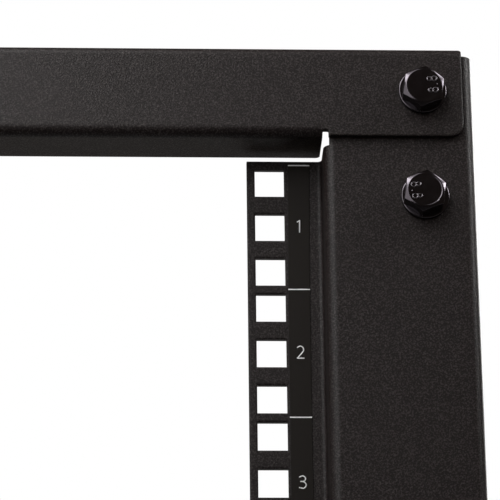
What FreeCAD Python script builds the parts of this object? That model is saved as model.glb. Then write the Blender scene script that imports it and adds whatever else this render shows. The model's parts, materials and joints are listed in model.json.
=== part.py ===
"""Four-post open frame rack for 19-inch equipment, standing on levelling feet.

Folded steel sheet throughout. The front and rear frames each have two Z-folded posts and
two crossbars. Telescoping channels join the frames along both sides, top and bottom.
Millimetres. X runs across the rack, Y from front to rear and Z up. The origin is on the
floor, below the middle of the rack.
"""

import FreeCAD
import Part
import math
import os

from FreeCAD import Vector

# Equipment space, to the 19-inch rack standard
rack_units = 12
hole_pitch = 15.875
unit_margin = 6.35
square_hole = 9.8
hole_edge_distance = 7.55
opening_width = 450.0
mounting_depth = 736.6

# Folded sheet
sheet = 2.0
bend_inside_radius = 1.5

# Posts
flange_width = 25.0
flange_setback = 14.5
flange_overrun = 1.5
post_face_width = 50.0
post_side_depth = 40.0
post_end_gap = 0.5
notch_into_face = 2.0

# Crossbars
bar_height = 32.5
bar_gap = 4.0
bar_flange_depth = 19.0
bar_flange_gap = 0.4
bar_end_inset = 3.6
relief_width = 2.0
relief_depth = 2.0
relief_corner_radius = 0.4
tab_corner_radius = 4.5
bar_corner_radius = 2.0
flange_corner_radius = 1.5

# Telescoping side rails
rail_width = 32.0
rail_side_gap = 2.0
rail_length = 568.0
rail_nesting_gap = 0.3
rail_tab_edge_distance = 7.45
rail_tab_run = 12.0
rail_tab_corner_radius = 3.0
clamp_pitch = 76.2
clamp_end_distance = 34.0
slot_length = 60.0
slot_end_margin = 12.0

# M8 fasteners
bolt_diameter = 8.0
bolt_hole = 9.0
bolt_length = 20.0
head_flats = 13.0
head_height = 5.3
washer_diameter = 16.0
washer_thickness = 1.6
nut_height = 6.5
thread_gap = 0.1
bolt_inset = 17.0
bar_bolt_rise = 19.8
rail_bolt_drop = 17.3

# Levelling feet
foot_plate_thickness = 2.5
foot_plate_chamfer = 2.5
foot_plate_gap = 0.25
stud_diameter = 10.0
foot_nut_flats = 17.0
foot_clearance = 1.2
weld_nut_height = 8.0
lock_nut_height = 5.0
thread_show = 4.0
pad_diameter = 45.0
pad_height = 15.0
pad_rim_height = 4.0
pad_shoulder = 3.0
pad_hub_diameter = 20.0
pad_hub_height = 3.0
pad_foot_chamfer = 1.0
socket_depth = 9.0

# Places worked out from the sizes above
unit_height = 2 * (unit_margin + hole_pitch)
bend_outside_radius = bend_inside_radius + sheet
flange_edge_x = opening_width / 2
hole_x = flange_edge_x + hole_edge_distance
web_x = flange_edge_x + flange_width
half_width = web_x + post_face_width
frame_depth = mounting_depth + 2 * flange_setback
front_face_y = -frame_depth / 2
post_overrun = bar_gap + bar_height - sheet - post_end_gap
post_bottom_z = pad_height + thread_show + lock_nut_height + weld_nut_height
lower_line_z = post_bottom_z + post_overrun
upper_line_z = lower_line_z + rack_units * unit_height
middle_z = (lower_line_z + upper_line_z) / 2
post_top_z = upper_line_z + post_overrun
bar_end_x = half_width - bar_end_inset
bar_flange_end_x = web_x - bar_flange_gap
bolt_x = half_width - bolt_inset
rail_tip_x = half_width - sheet - rail_side_gap
rail_web_x = rail_tip_x - rail_width
rail_middle_z = upper_line_z + (bar_bolt_rise - rail_bolt_drop) / 2
rail_height = 2 * (post_top_z - foot_plate_thickness - foot_plate_gap - rail_middle_z)
rail_tab_height = bar_bolt_rise + rail_bolt_drop + 2 * rail_tab_edge_distance
foot_x = (web_x + half_width) / 2
foot_y = front_face_y - sheet + bar_flange_depth + foot_nut_flats / math.sqrt(3) + foot_clearance

left_to_right = Vector(1, 0, 0)
front_to_rear = Vector(0, 1, 0)
up = Vector(0, 0, 1)


def plan(x, y):
    """A point of a section that lies flat, as a post's does."""
    return Vector(x, y, 0)


def from_side(y, z):
    """A point of a section seen along the rack's width, as a crossbar's is."""
    return Vector(0, y, z)


def from_front(x, z):
    """A point of a section seen from the front, as a side rail's is."""
    return Vector(x, 0, z)


def rounded_line(corners, radii):
    """Edges along the corners, with an arc of the given radius at each inner corner."""
    edges = []
    start = corners[0]
    for before, corner, after, radius in zip(corners, corners[1:], corners[2:], radii):
        arriving = (corner - before).normalize()
        leaving = (after - corner).normalize()
        turn = arriving.getAngle(leaving)
        setback = radius * math.tan(turn / 2)
        arc_start = corner - arriving * setback
        arc_end = corner + leaving * setback
        to_centre = (leaving - arriving).normalize()
        crown = corner + to_centre * (radius / math.cos(turn / 2) - radius)
        edges.append(Part.LineSegment(start, arc_start).toShape())
        edges.append(Part.Arc(arc_start, crown, arc_end).toShape())
        start = arc_end
    edges.append(Part.LineSegment(start, corners[-1]).toShape())
    return edges


def folded_sheet(corners, section_normal, sweep):
    """Bent sheet metal: the corners follow one face, and the metal lies on their left."""
    steps = [(b - a).normalize() for a, b in zip(corners, corners[1:])]
    lefts = [section_normal.cross(step) for step in steps]
    inner = [corners[0] + lefts[0] * sheet]
    face_radii = []
    inner_radii = []
    for corner, before, after, step in zip(corners[1:], lefts, lefts[1:], steps[1:]):
        inner.append(corner + (before + after) * (sheet / (1 + before.dot(after))))
        turns_left = before.dot(step) > 0
        face_radii.append(bend_outside_radius if turns_left else bend_inside_radius)
        inner_radii.append(bend_inside_radius if turns_left else bend_outside_radius)
    inner.append(corners[-1] + lefts[-1] * sheet)
    edges = rounded_line(corners, face_radii)
    edges.append(Part.LineSegment(corners[-1], inner[-1]).toShape())
    edges += rounded_line(inner[::-1], inner_radii[::-1])
    edges.append(Part.LineSegment(inner[0], corners[0]).toShape())
    return Part.Face(Part.Wire(edges)).extrude(sweep)


def box(low, high):
    return Part.makeBox(high.x - low.x, high.y - low.y, high.z - low.z, low)


def rod(diameter, length, start, direction):
    return Part.makeCylinder(diameter / 2, length, start, direction)


def hex_prism(flats, height, start, direction):
    """A hexagonal prism along a direction, from the middle of its first face."""
    side = Vector(direction.y, direction.z, direction.x)
    across = direction.cross(side)
    reach = flats / math.sqrt(3)
    corners = []
    for k in range(7):
        angle = math.radians(60 * k)
        corners.append(start + side * (reach * math.cos(angle)) + across * (reach * math.sin(angle)))
    return Part.Face(Part.makePolygon(corners)).extrude(direction * height)


def rounded_corners(shape, radius, direction, is_corner):
    """Rounds the edges along a direction whose middle passes the test."""
    chosen = []
    for edge in shape.Edges:
        along = edge.Vertexes[-1].Point - edge.Vertexes[0].Point
        straight = isinstance(edge.Curve, Part.Line) and along.Length > 0
        if straight and along.cross(direction).Length < 1e-6 * along.Length:
            if is_corner(edge.CenterOfMass):
                chosen.append(edge)
    return shape.makeFillet(radius, chosen)


def near(value, target):
    return abs(value - target) < 1e-4


def across_rack(shape):
    return shape.mirror(Vector(0, 0, 0), left_to_right)


def front_for_rear(shape):
    return shape.mirror(Vector(0, 0, 0), front_to_rear)


def top_for_bottom(shape):
    return shape.mirror(Vector(0, 0, middle_z), up)


def square_hole_heights():
    """Heights of the hole centres in one column, from the top unit down."""
    return [
        upper_line_z - unit * unit_height - unit_margin - hole * hole_pitch
        for unit in range(rack_units)
        for hole in range(3)
    ]


def corner_bolt_heights():
    """Heights of the four bolts on one post: crossbar and rail at the top, then at the bottom."""
    upper = [upper_line_z + bar_bolt_rise, upper_line_z - rail_bolt_drop]
    return upper + [2 * middle_z - z for z in upper]


def front_right_post():
    flange_y = front_face_y + flange_setback
    outline = [
        plan(flange_edge_x, flange_y),
        plan(web_x, flange_y),
        plan(web_x, front_face_y),
        plan(half_width, front_face_y),
        plan(half_width, front_face_y + post_side_depth),
    ]
    post = folded_sheet(outline, up, up * (post_top_z - post_bottom_z))
    post.translate(up * post_bottom_z)
    # The flange and web stop short of both ends, to let the crossbars' folds pass.
    notch_side = web_x + notch_into_face
    rear_y = flange_y + 2 * sheet
    flange_top_z = upper_line_z + flange_overrun
    notch = box(
        Vector(flange_edge_x - sheet, front_face_y - sheet, flange_top_z),
        Vector(notch_side, rear_y, post_top_z + sheet),
    )
    cutters = [notch, top_for_bottom(notch)]
    for z in square_hole_heights():
        cutters.append(box(
            Vector(hole_x - square_hole / 2, flange_y - sheet, z - square_hole / 2),
            Vector(hole_x + square_hole / 2, rear_y, z + square_hole / 2),
        ))
    for z in corner_bolt_heights():
        start = Vector(bolt_x, front_face_y - sheet, z)
        cutters.append(rod(bolt_hole, 3 * sheet, start, front_to_rear))
    return post.cut(Part.Compound(cutters))


def front_top_crossbar():
    """A channel between the posts whose face and top run on over them as bolted tabs."""
    face_y = front_face_y - sheet
    rear_y = face_y + bar_flange_depth
    bottom_z = upper_line_z + bar_gap
    top_z = bottom_z + bar_height
    channel_outline = [
        from_side(rear_y, top_z),
        from_side(face_y, top_z),
        from_side(face_y, bottom_z),
        from_side(rear_y, bottom_z),
    ]
    channel = folded_sheet(channel_outline, left_to_right, left_to_right * (2 * bar_flange_end_x))
    channel.translate(left_to_right * -bar_flange_end_x)
    tab_outline = channel_outline[:3]
    tab = folded_sheet(tab_outline, left_to_right, left_to_right * (bar_end_x - bar_flange_end_x))
    tab.translate(left_to_right * bar_flange_end_x)
    tab = rounded_corners(
        tab, tab_corner_radius, front_to_rear,
        lambda p: near(p.x, bar_end_x) and near(p.z, bottom_z),
    )
    corner = box(
        Vector(bar_end_x - bar_corner_radius, face_y - sheet, top_z - bar_corner_radius),
        Vector(bar_end_x + sheet, rear_y + sheet, top_z + sheet),
    )
    corner_rod_start = Vector(
        bar_end_x - bar_corner_radius, face_y - sheet, top_z - bar_corner_radius
    )
    corner_rod = rod(
        2 * bar_corner_radius, bar_flange_depth + 2 * sheet, corner_rod_start, front_to_rear
    )
    relief_top_z = bottom_z + relief_depth
    relief = box(
        Vector(bar_flange_end_x, face_y - sheet, bottom_z - sheet),
        Vector(bar_flange_end_x + relief_width, face_y + 2 * sheet, relief_top_z),
    )
    relief = rounded_corners(
        relief, relief_corner_radius, front_to_rear, lambda p: near(p.z, relief_top_z)
    )
    bolt_start = Vector(bolt_x, face_y - sheet, upper_line_z + bar_bolt_rise)
    hole = rod(bolt_hole, 3 * sheet, bolt_start, front_to_rear)
    tab = tab.cut([corner.cut(corner_rod), relief, hole])
    bar = channel.fuse([tab, across_rack(tab)]).removeSplitter()
    return rounded_corners(
        bar, flange_corner_radius, up,
        lambda p: near(p.y, rear_y) and near(abs(p.x), bar_flange_end_x),
    )


def side_rail(web_face_x, height):
    """One channel of a right-hand rail, open to the outside, with its tab behind the front face."""
    low_z = rail_middle_z - height / 2
    high_z = rail_middle_z + height / 2
    tab_y = front_face_y + sheet
    channel_y = tab_y + rail_tab_run
    outline = [
        from_front(rail_tip_x, low_z),
        from_front(web_face_x, low_z),
        from_front(web_face_x, high_z),
        from_front(rail_tip_x, high_z),
    ]
    channel = folded_sheet(outline, front_to_rear, front_to_rear * (rail_length - rail_tab_run))
    channel.translate(front_to_rear * channel_y)
    tab_outline = [
        plan(web_face_x, channel_y),
        plan(web_face_x, tab_y),
        plan(rail_tip_x, tab_y),
    ]
    tab = folded_sheet(tab_outline, up, up * rail_tab_height)
    tab.translate(up * (rail_middle_z - rail_tab_height / 2))
    tab = rounded_corners(
        tab, rail_tab_corner_radius, front_to_rear, lambda p: near(p.x, rail_tip_x)
    )
    holes = [
        rod(bolt_hole, 3 * sheet, Vector(bolt_x, tab_y - sheet, z), front_to_rear)
        for z in corner_bolt_heights()[:2]
    ]
    return channel.fuse(tab.cut(holes)).removeSplitter()


def clamp_places():
    """Where the clamp bolts sit along the rails, from front to rear."""
    last = front_face_y + sheet + rail_length - clamp_end_distance
    return [last - clamp_pitch, last]


def front_rail_half():
    """The outer channel: it reaches back from the front post and carries the clamp bolts."""
    rail = side_rail(rail_web_x, rail_height)
    holes = [
        rod(bolt_hole, 3 * sheet, Vector(rail_web_x - sheet, y, rail_middle_z), left_to_right)
        for y in clamp_places()
    ]
    return rail.cut(holes)


def slot_places():
    """Middles of the rear half's slots, in step with the clamp bolts, clear of both ends."""
    rear_y = -front_face_y - sheet - rail_tab_run
    front_y = -front_face_y - sheet - rail_length
    reach = slot_length / 2 + slot_end_margin
    first = clamp_places()[0]
    before = math.floor((first - reach - front_y) / clamp_pitch)
    after = math.floor((rear_y - reach - first) / clamp_pitch)
    return [first + k * clamp_pitch for k in range(-before, after + 1)]


def rear_rail_half():
    """The inner channel: it nests in the front half, and its slots let the depth be set."""
    height = rail_height - 2 * (sheet + rail_nesting_gap)
    web_face_x = rail_web_x + sheet
    rail = front_for_rear(side_rail(web_face_x, height))
    slots = []
    straight = slot_length - bolt_hole
    for y in slot_places():
        low = Vector(web_face_x - sheet, y - straight / 2, rail_middle_z - bolt_hole / 2)
        high = Vector(web_face_x + 2 * sheet, y + straight / 2, rail_middle_z + bolt_hole / 2)
        slots.append(box(low, high))
        for end in (low.y, high.y):
            start = Vector(low.x, end, rail_middle_z)
            slots.append(rod(bolt_hole, 3 * sheet, start, left_to_right))
    return rail.cut(slots)


def foot_plate():
    """The plate welded across a front right post's foot, clear of the post's bends."""
    low = Vector(web_x + sheet, front_face_y + sheet, post_bottom_z)
    high = Vector(
        half_width - sheet, front_face_y + post_side_depth, post_bottom_z + foot_plate_thickness
    )
    plate = box(low, high)
    plate = plate.makeChamfer(foot_plate_chamfer, [
        edge for edge in plate.Edges
        if near(edge.CenterOfMass.y, low.y) and not near(edge.CenterOfMass.x, foot_x)
    ])
    return plate.cut(rod(stud_diameter + 2 * thread_gap, 3 * sheet,
                         Vector(foot_x, foot_y, post_bottom_z - sheet), up))


def foot_nut(height, top_z):
    nut = hex_prism(foot_nut_flats, height, Vector(foot_x, foot_y, top_z - height), up)
    bore_start = Vector(foot_x, foot_y, top_z - height)
    return nut.cut(rod(stud_diameter + 2 * thread_gap, height, bore_start, up))


def foot_stud():
    bottom_z = pad_height - socket_depth
    top_z = post_bottom_z + foot_plate_thickness
    return rod(stud_diameter, top_z - bottom_z, Vector(foot_x, foot_y, bottom_z), up)


def foot_pad():
    """A round pad with a sloping top and a hub that holds the stud, turned as one piece."""
    rim = pad_diameter / 2
    hub = pad_hub_diameter / 2
    socket = stud_diameter / 2 + thread_gap
    outline = [
        plan(0, 0),
        plan(rim - pad_foot_chamfer, 0),
        plan(rim, pad_foot_chamfer),
        plan(rim, pad_rim_height),
        plan(rim - pad_shoulder, pad_rim_height + pad_shoulder / 2),
        plan(hub, pad_height - pad_hub_height),
        plan(hub, pad_height),
        plan(socket, pad_height),
        plan(socket, pad_height - socket_depth),
        plan(0, pad_height - socket_depth),
        plan(0, 0),
    ]
    pad = Part.Face(Part.makePolygon(outline)).revolve(Vector(0, 0, 0), front_to_rear, 360)
    pad.rotate(Vector(0, 0, 0), left_to_right, 90)
    pad.translate(Vector(foot_x, foot_y, 0))
    return pad


def corner_bolt_seats():
    """Front faces that the bolts' washers sit on, for the right-hand side of the front frame."""
    crossbar_face_y = front_face_y - sheet
    faces = (crossbar_face_y, front_face_y, crossbar_face_y, front_face_y)
    return [Vector(bolt_x, y, z) for y, z in zip(faces, corner_bolt_heights())]


def washer(seat, outward):
    ring = rod(washer_diameter, washer_thickness, seat, outward)
    return ring.cut(rod(bolt_diameter + 2 * thread_gap, washer_thickness, seat, outward))


def hex_bolt(seat, outward):
    """Head on the washer, and the shank back through the joint."""
    under_head = seat + outward * washer_thickness
    head = hex_prism(head_flats, head_height, under_head, outward)
    shank = rod(bolt_diameter, bolt_length, under_head, outward * -1)
    return head.fuse(shank).removeSplitter()


def hex_nut(seat, outward):
    nut = hex_prism(head_flats, nut_height, seat, outward)
    return nut.cut(rod(bolt_diameter + 2 * thread_gap, nut_height, seat, outward))


def both_sides(shapes):
    return shapes + [across_rack(shape) for shape in shapes]


def rail_clamp(place):
    """Bolt, washer and nut through the right-hand rails at one place along a top rail."""
    outside = Vector(rail_web_x + 2 * sheet, place, rail_middle_z)
    inside = Vector(rail_web_x, place, rail_middle_z)
    inward = left_to_right * -1
    return hex_bolt(outside, left_to_right), washer(outside, left_to_right), hex_nut(inside, inward)


def all_nodes():
    """Every named piece of the rack, in place."""
    nodes = {}
    post = front_right_post()
    crossbar = front_top_crossbar()
    rails = {"front": front_rail_half(), "rear": rear_rail_half()}
    feet = {"foot_plate": foot_plate(), "foot_stud": foot_stud(), "foot_pad": foot_pad()}
    for end in ("front", "rear"):
        placed = (lambda s: s) if end == "front" else front_for_rear
        nodes[f"{end}_right_post"] = placed(post)
        nodes[f"{end}_left_post"] = placed(across_rack(post))
        nodes[f"{end}_top_crossbar"] = placed(crossbar)
        nodes[f"{end}_bottom_crossbar"] = placed(top_for_bottom(crossbar))
        for name, piece in feet.items():
            nodes[f"{end}_right_{name}"] = placed(piece)
            nodes[f"{end}_left_{name}"] = placed(across_rack(piece))
        nodes[f"right_top_rail_{end}_half"] = rails[end]
        nodes[f"left_top_rail_{end}_half"] = across_rack(rails[end])
        nodes[f"right_bottom_rail_{end}_half"] = top_for_bottom(rails[end])
        nodes[f"left_bottom_rail_{end}_half"] = top_for_bottom(across_rack(rails[end]))
        outward = front_to_rear * -1
        seats = corner_bolt_seats()
        nut_seats = [Vector(s.x, front_face_y + 2 * sheet, s.z) for s in seats]
        fasteners = {
            "bolts": [hex_bolt(seat, outward) for seat in seats],
            "washers": [washer(seat, outward) for seat in seats],
            "nuts": [hex_nut(seat, front_to_rear) for seat in nut_seats],
        }
        for name, pieces in fasteners.items():
            nodes[f"{end}_frame_{name}"] = placed(Part.Compound(both_sides(pieces)))
    top_clamps = [rail_clamp(place) for place in clamp_places()]
    for name, pieces in zip(("bolts", "washers", "nuts"), zip(*top_clamps)):
        right = list(pieces) + [top_for_bottom(piece) for piece in pieces]
        nodes[f"right_rail_{name}"] = Part.Compound(right)
        nodes[f"left_rail_{name}"] = across_rack(Part.Compound(right))
    nuts = {
        "foot_weld_nuts": foot_nut(weld_nut_height, post_bottom_z),
        "foot_lock_nuts": foot_nut(lock_nut_height, post_bottom_z - weld_nut_height),
    }
    for name, nut in nuts.items():
        pair = both_sides([nut])
        nodes[name] = Part.Compound(pair + [front_for_rear(piece) for piece in pair])
    return nodes


os.makedirs("parts", exist_ok=True)
for node_name, node_shape in all_nodes().items():
    node_shape.exportStep(os.path.join("parts", node_name + ".step"))
    print(f"{node_name}: {len(node_shape.Solids)} solids, {node_shape.Volume / 1000:.2f} cm3")
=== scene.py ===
# %% [markdown]
# # Dressing a four-post open frame rack
# The rack is folded black steel: four posts with square holes, four crossbars, telescoping side
# rails and levelling feet. The imported model already holds every piece at its real size and in its
# place. This lesson gives the pieces their looks: softened sheet edges, a powder coat with its
# grain, printed unit marks, real threads and forged bolt heads. Nothing here moves or resizes the
# rack. The imported model is loaded first, and its box is kept.

# %% Load the frame
import json
import math
import random

import bmesh
import bpy
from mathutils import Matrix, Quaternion, Vector

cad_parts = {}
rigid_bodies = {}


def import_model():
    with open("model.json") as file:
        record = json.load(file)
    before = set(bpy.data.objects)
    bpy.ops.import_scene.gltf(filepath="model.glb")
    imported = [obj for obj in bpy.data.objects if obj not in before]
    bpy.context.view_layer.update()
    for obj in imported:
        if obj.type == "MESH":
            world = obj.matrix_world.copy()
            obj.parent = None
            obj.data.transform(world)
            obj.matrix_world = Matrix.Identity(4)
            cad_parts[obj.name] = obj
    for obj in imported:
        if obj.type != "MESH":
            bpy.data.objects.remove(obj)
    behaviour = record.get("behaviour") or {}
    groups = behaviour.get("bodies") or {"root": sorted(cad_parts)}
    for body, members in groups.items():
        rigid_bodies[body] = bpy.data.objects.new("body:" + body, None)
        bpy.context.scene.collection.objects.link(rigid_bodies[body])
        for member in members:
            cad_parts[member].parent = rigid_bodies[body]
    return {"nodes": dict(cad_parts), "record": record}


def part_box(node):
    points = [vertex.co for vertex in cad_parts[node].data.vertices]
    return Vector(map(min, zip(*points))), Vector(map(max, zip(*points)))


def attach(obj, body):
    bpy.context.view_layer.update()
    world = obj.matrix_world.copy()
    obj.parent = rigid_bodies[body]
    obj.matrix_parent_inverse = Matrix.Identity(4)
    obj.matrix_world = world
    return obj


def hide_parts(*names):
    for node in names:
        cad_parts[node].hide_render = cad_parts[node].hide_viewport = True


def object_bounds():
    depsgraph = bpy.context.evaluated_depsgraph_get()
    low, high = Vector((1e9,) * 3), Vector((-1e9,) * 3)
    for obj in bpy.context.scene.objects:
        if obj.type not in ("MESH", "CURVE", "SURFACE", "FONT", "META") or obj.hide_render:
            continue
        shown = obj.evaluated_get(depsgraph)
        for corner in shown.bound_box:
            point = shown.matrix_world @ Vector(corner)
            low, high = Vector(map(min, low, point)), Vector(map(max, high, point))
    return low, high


for leftover in list(bpy.data.objects):
    bpy.data.objects.remove(leftover)
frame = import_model()
cad_low, cad_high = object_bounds()
mm = 0.001
print("Loaded", len(frame["nodes"]), "nodes, from", tuple(cad_low), "to", tuple(cad_high))

# %% [markdown]
# ## Reading places off the model
# A bolt belongs where the model has it, so no place is typed in twice. A node such as the front
# bolts holds eight solids in one mesh. Merging the loose triangles shows which corners hang
# together, and walking along the edges collects one solid after another. The boxes come back
# sorted, so every run meets the bolts in the same order. The mounts in the record give the hole
# column and the face of the mounting flange.

# %% Boxes of the separate solids in one node
merge_distance = 0.005 * mm


def merged_copy(node):
    """A bmesh of the node with its loose triangles joined."""
    shape = bmesh.new()
    shape.from_mesh(frame["nodes"][node].data)
    bmesh.ops.remove_doubles(shape, verts=shape.verts, dist=merge_distance)
    return shape


def solid_boxes(node):
    """Lowest and highest corner of each separate solid, from the top down and left to right."""
    shape = merged_copy(node)
    boxes = []
    seen = set()
    for start in shape.verts:
        if start in seen:
            continue
        seen.add(start)
        solid = [start]
        for corner in solid:
            for edge in corner.link_edges:
                other = edge.other_vert(corner)
                if other not in seen:
                    seen.add(other)
                    solid.append(other)
        low = Vector(min(v.co[k] for v in solid) for k in range(3))
        high = Vector(max(v.co[k] for v in solid) for k in range(3))
        boxes.append((low, high))
    shape.free()
    return sorted(boxes, key=lambda b: (round(-b[0].z, 4), round(b[0].x, 4), round(b[0].y, 4)))


mounts = {mount["name"]: Vector(mount["pos_m"]) for mount in frame["record"]["mounts"]}
print("Front bolts in the frame:", len(solid_boxes("front_frame_bolts")))
print("Mounts in the record:", len(mounts))

# %% [markdown]
# ## Helpers for node trees
# Materials and Geometry Nodes are both graphs, and most of their steps are small sums. Small
# helpers keep the graphs readable: they fill the inputs of a node, add a node with its settings,
# and add a sum. An input is either a plain value or the socket of an earlier node. The last helper
# starts a group, whose inputs are given by their first values, or by a type where there is none.

# %% Add nodes and sums to a tree
socket_types = {float: "NodeSocketFloat", int: "NodeSocketInt", tuple: "NodeSocketVector"}


def fill(tree, node, inputs):
    """Links inputs of a node, by name or number, to earlier sockets, or sets plain values on them."""
    for name, value in inputs.items():
        if isinstance(value, bpy.types.NodeSocket):
            tree.links.new(value, node.inputs[name])
        else:
            node.inputs[name].default_value = value


def add_node(tree, kind, inputs=None, **settings):
    node = tree.nodes.new(kind)
    for name, value in settings.items():
        setattr(node, name, value)
    fill(tree, node, inputs or {})
    return node


def maths(tree, operation, *values):
    return add_node(tree, "ShaderNodeMath", dict(enumerate(values)), operation=operation).outputs[0]


def new_group(name, kind, inputs, outputs):
    """A node group, the sockets that its inputs give inside it, and the node that takes its outputs."""
    tree = bpy.data.node_groups.new(name, kind)
    for label, first in inputs.items():
        socket_type = socket_types.get(type(first), first)
        socket = tree.interface.new_socket(label, in_out="INPUT", socket_type=socket_type)
        if socket_type != first:
            socket.default_value = first
    for label, socket_type in outputs.items():
        tree.interface.new_socket(label, in_out="OUTPUT", socket_type=socket_type)
    return tree, add_node(tree, "NodeGroupInput").outputs, add_node(tree, "NodeGroupOutput")


print("Helpers ready")

# %% [markdown]
# ## The grain of the powder coat
# The coat is baked-on powder: matt, near black and slightly warm, with a fine pebbled texture
# that sparkles a little where light grazes it. A picture of the texture could be wrapped on, but
# it would stretch over the folds. Noise in the object's own coordinates runs through every fold
# without a seam. Noise is weak in the planes of its own grid, so it is turned: no face of the
# rack lies in such a plane. The grain is used by the coat, the printed film, the print and the
# rubber with different strengths, so it is a group. It puts out a tone for the colour and a height
# for the bump.

# %% Grain group
grain_turn = (0.5, 0.4, 0.3)
noise_middle = 0.5
clouds_per_grain = 0.06


def make_grain_group():
    tree, given, put = new_group(
        "fine_grain",
        "ShaderNodeTree",
        {"Grains per metre": 1500.0, "Contrast": 0.5, "Mottle": 0.1},
        {"Tone": "NodeSocketFloat", "Height": "NodeSocketFloat"},
    )
    grains = given["Grains per metre"]
    place = add_node(tree, "ShaderNodeTexCoord").outputs["Object"]
    turned = add_node(tree, "ShaderNodeMapping", {"Vector": place, "Rotation": grain_turn}).outputs[0]
    fine = add_node(tree, "ShaderNodeTexNoise", {
        "Vector": turned, "Scale": grains, "Detail": 1.5, "Roughness": 0.6,
    }).outputs[0]
    broad = add_node(tree, "ShaderNodeTexNoise", {
        "Vector": turned, "Scale": maths(tree, "MULTIPLY", grains, clouds_per_grain), "Detail": 2.0,
    }).outputs[0]
    speck = maths(tree, "SUBTRACT", fine, noise_middle)
    cloud = maths(tree, "SUBTRACT", broad, noise_middle)
    tone = maths(tree, "MULTIPLY_ADD", speck, given["Contrast"], 1.0)
    tone = maths(tree, "MULTIPLY_ADD", cloud, given["Mottle"], tone)
    fill(tree, put, {"Tone": maths(tree, "MAXIMUM", tone, 0.0), "Height": fine})
    return tree


grain_group = make_grain_group()
print("Group", grain_group.name, "puts out", [s.name for s in grain_group.nodes["Group Output"].inputs][:2])

# %% [markdown]
# ## Finishes with a grain
# The coat, the printed film beside the holes, the white print on it and the rubber of the feet
# differ in colour, gloss and grain, but are built alike: tone times colour into Base Color, height
# into Roughness and through a Bump node into Normal. One function makes them all. Values that are
# the same all over, such as the specular level, go straight onto the shader's sockets. The coat's
# specks are nearly grey and lie on a warm undertone; their strong contrast is partly the real grain
# and partly painted glints of grazing light. Powder draws thick to a cut edge and swells there, so
# the coat also gets a Bevel node, which bends its normals over a millimetre beside each edge and
# hole. The print is slightly uneven, as screen printing is.

# %% Coat, film, print and rubber
gloss_spread = 0.12


def new_finish(name):
    """A material with its node tree and its shader."""
    finish = bpy.data.materials.new(name)
    finish.use_nodes = True
    return finish, finish.node_tree, finish.node_tree.nodes["Principled BSDF"]


def grained_finish(
    name, colour, roughness, specular, grains, contrast, mottle, bump, bump_height,
    build_up=0.0, undertone=(0, 0, 0),
):
    finish, tree, shader = new_finish(name)
    grain = add_node(tree, "ShaderNodeGroup", {
        "Grains per metre": grains, "Contrast": contrast, "Mottle": mottle,
    }, node_tree=grain_group)
    paint = add_node(tree, "ShaderNodeVectorMath", {
        0: grain.outputs["Tone"], 1: colour, 2: undertone,
    }, operation="MULTIPLY_ADD")
    rough = maths(tree, "MULTIPLY_ADD", grain.outputs["Height"], -gloss_spread, roughness + gloss_spread / 2)
    relief = add_node(tree, "ShaderNodeBump", {
        "Strength": bump, "Distance": bump_height, "Height": grain.outputs["Height"],
    })
    if build_up:
        swollen = add_node(tree, "ShaderNodeBevel", {"Radius": build_up}, samples=6)
        fill(tree, relief, {"Normal": swollen.outputs[0]})
    fill(tree, shader, {
        "Base Color": paint.outputs[0],
        "Roughness": rough,
        "Normal": relief.outputs[0],
        "Specular IOR Level": specular,
    })
    return finish


# The coat's high speck contrast paints grey glints into its colour, over its real grain.
powder_coat = grained_finish(
    "powder_coat", (0.0061, 0.0054, 0.0052), roughness=0.45, specular=0.3, grains=1900, contrast=28.0,
    mottle=0.3, bump=1.0, bump_height=0.13 * mm, build_up=1.0 * mm, undertone=(0.0032, 0.0001, 0.0),
)
label_film = grained_finish(
    "label_film", (0.0092, 0.0067, 0.0049), roughness=0.42, specular=0.23, grains=500, contrast=0.08,
    mottle=0.1, bump=0.05, bump_height=0.01 * mm,
)
white_print = grained_finish(
    "white_print", (0.92, 0.92, 0.92), roughness=0.5, specular=0.3, grains=2500, contrast=0.15,
    mottle=0.05, bump=0.05, bump_height=0.01 * mm,
)
foot_rubber = grained_finish(
    "foot_rubber", (0.020, 0.020, 0.021), roughness=0.72, specular=0.3, grains=900, contrast=0.4,
    mottle=0.4, bump=0.4, bump_height=0.08 * mm,
)
print("Finishes:", powder_coat.name, label_film.name, white_print.name, foot_rubber.name)

# %% [markdown]
# ## Plated steel
# The bolts are black-plated and half glossy: they mirror the lamps as bright crescents and are
# almost black elsewhere. The studs and nuts of the feet are bright zinc. Plating is never quite
# even, so both get soft smudges in their roughness and a faint ripple. The Geometry node's
# Pointiness finds sharp edges and raised strokes and mixes in a paler, duller metal there: partly
# plating rubbed off where fingers and spanners touch first, and partly a painted highlight.

# %% Black plating and zinc
# Paler metal for sharp edges and raised strokes: partly rubbed plating, partly a painted highlight.
worn_and_highlit_metal = (0.28, 0.26, 0.28, 1.0)
worn_and_highlit_dullness = 0.3
sharp_from, sharp_full = 0.53, 0.6
ripple_strength = 0.12
ripple_height = 0.05 * mm


def smudge_group():
    tree, given, put = new_group(
        "plating_smudges",
        "ShaderNodeTree",
        {"Smudges per metre": 220.0},
        {"Smudge": "NodeSocketFloat", "Ripple": "NodeSocketFloat"},
    )
    place = add_node(tree, "ShaderNodeTexCoord").outputs["Object"]
    for label, factor, detail in (("Smudge", 1.0, 3.0), ("Ripple", 4.0, 2.0)):
        scale = maths(tree, "MULTIPLY", given["Smudges per metre"], factor)
        noise = add_node(tree, "ShaderNodeTexNoise", {"Vector": place, "Scale": scale, "Detail": detail})
        fill(tree, put, {label: noise.outputs[0]})
    return tree


plating = smudge_group()


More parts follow.
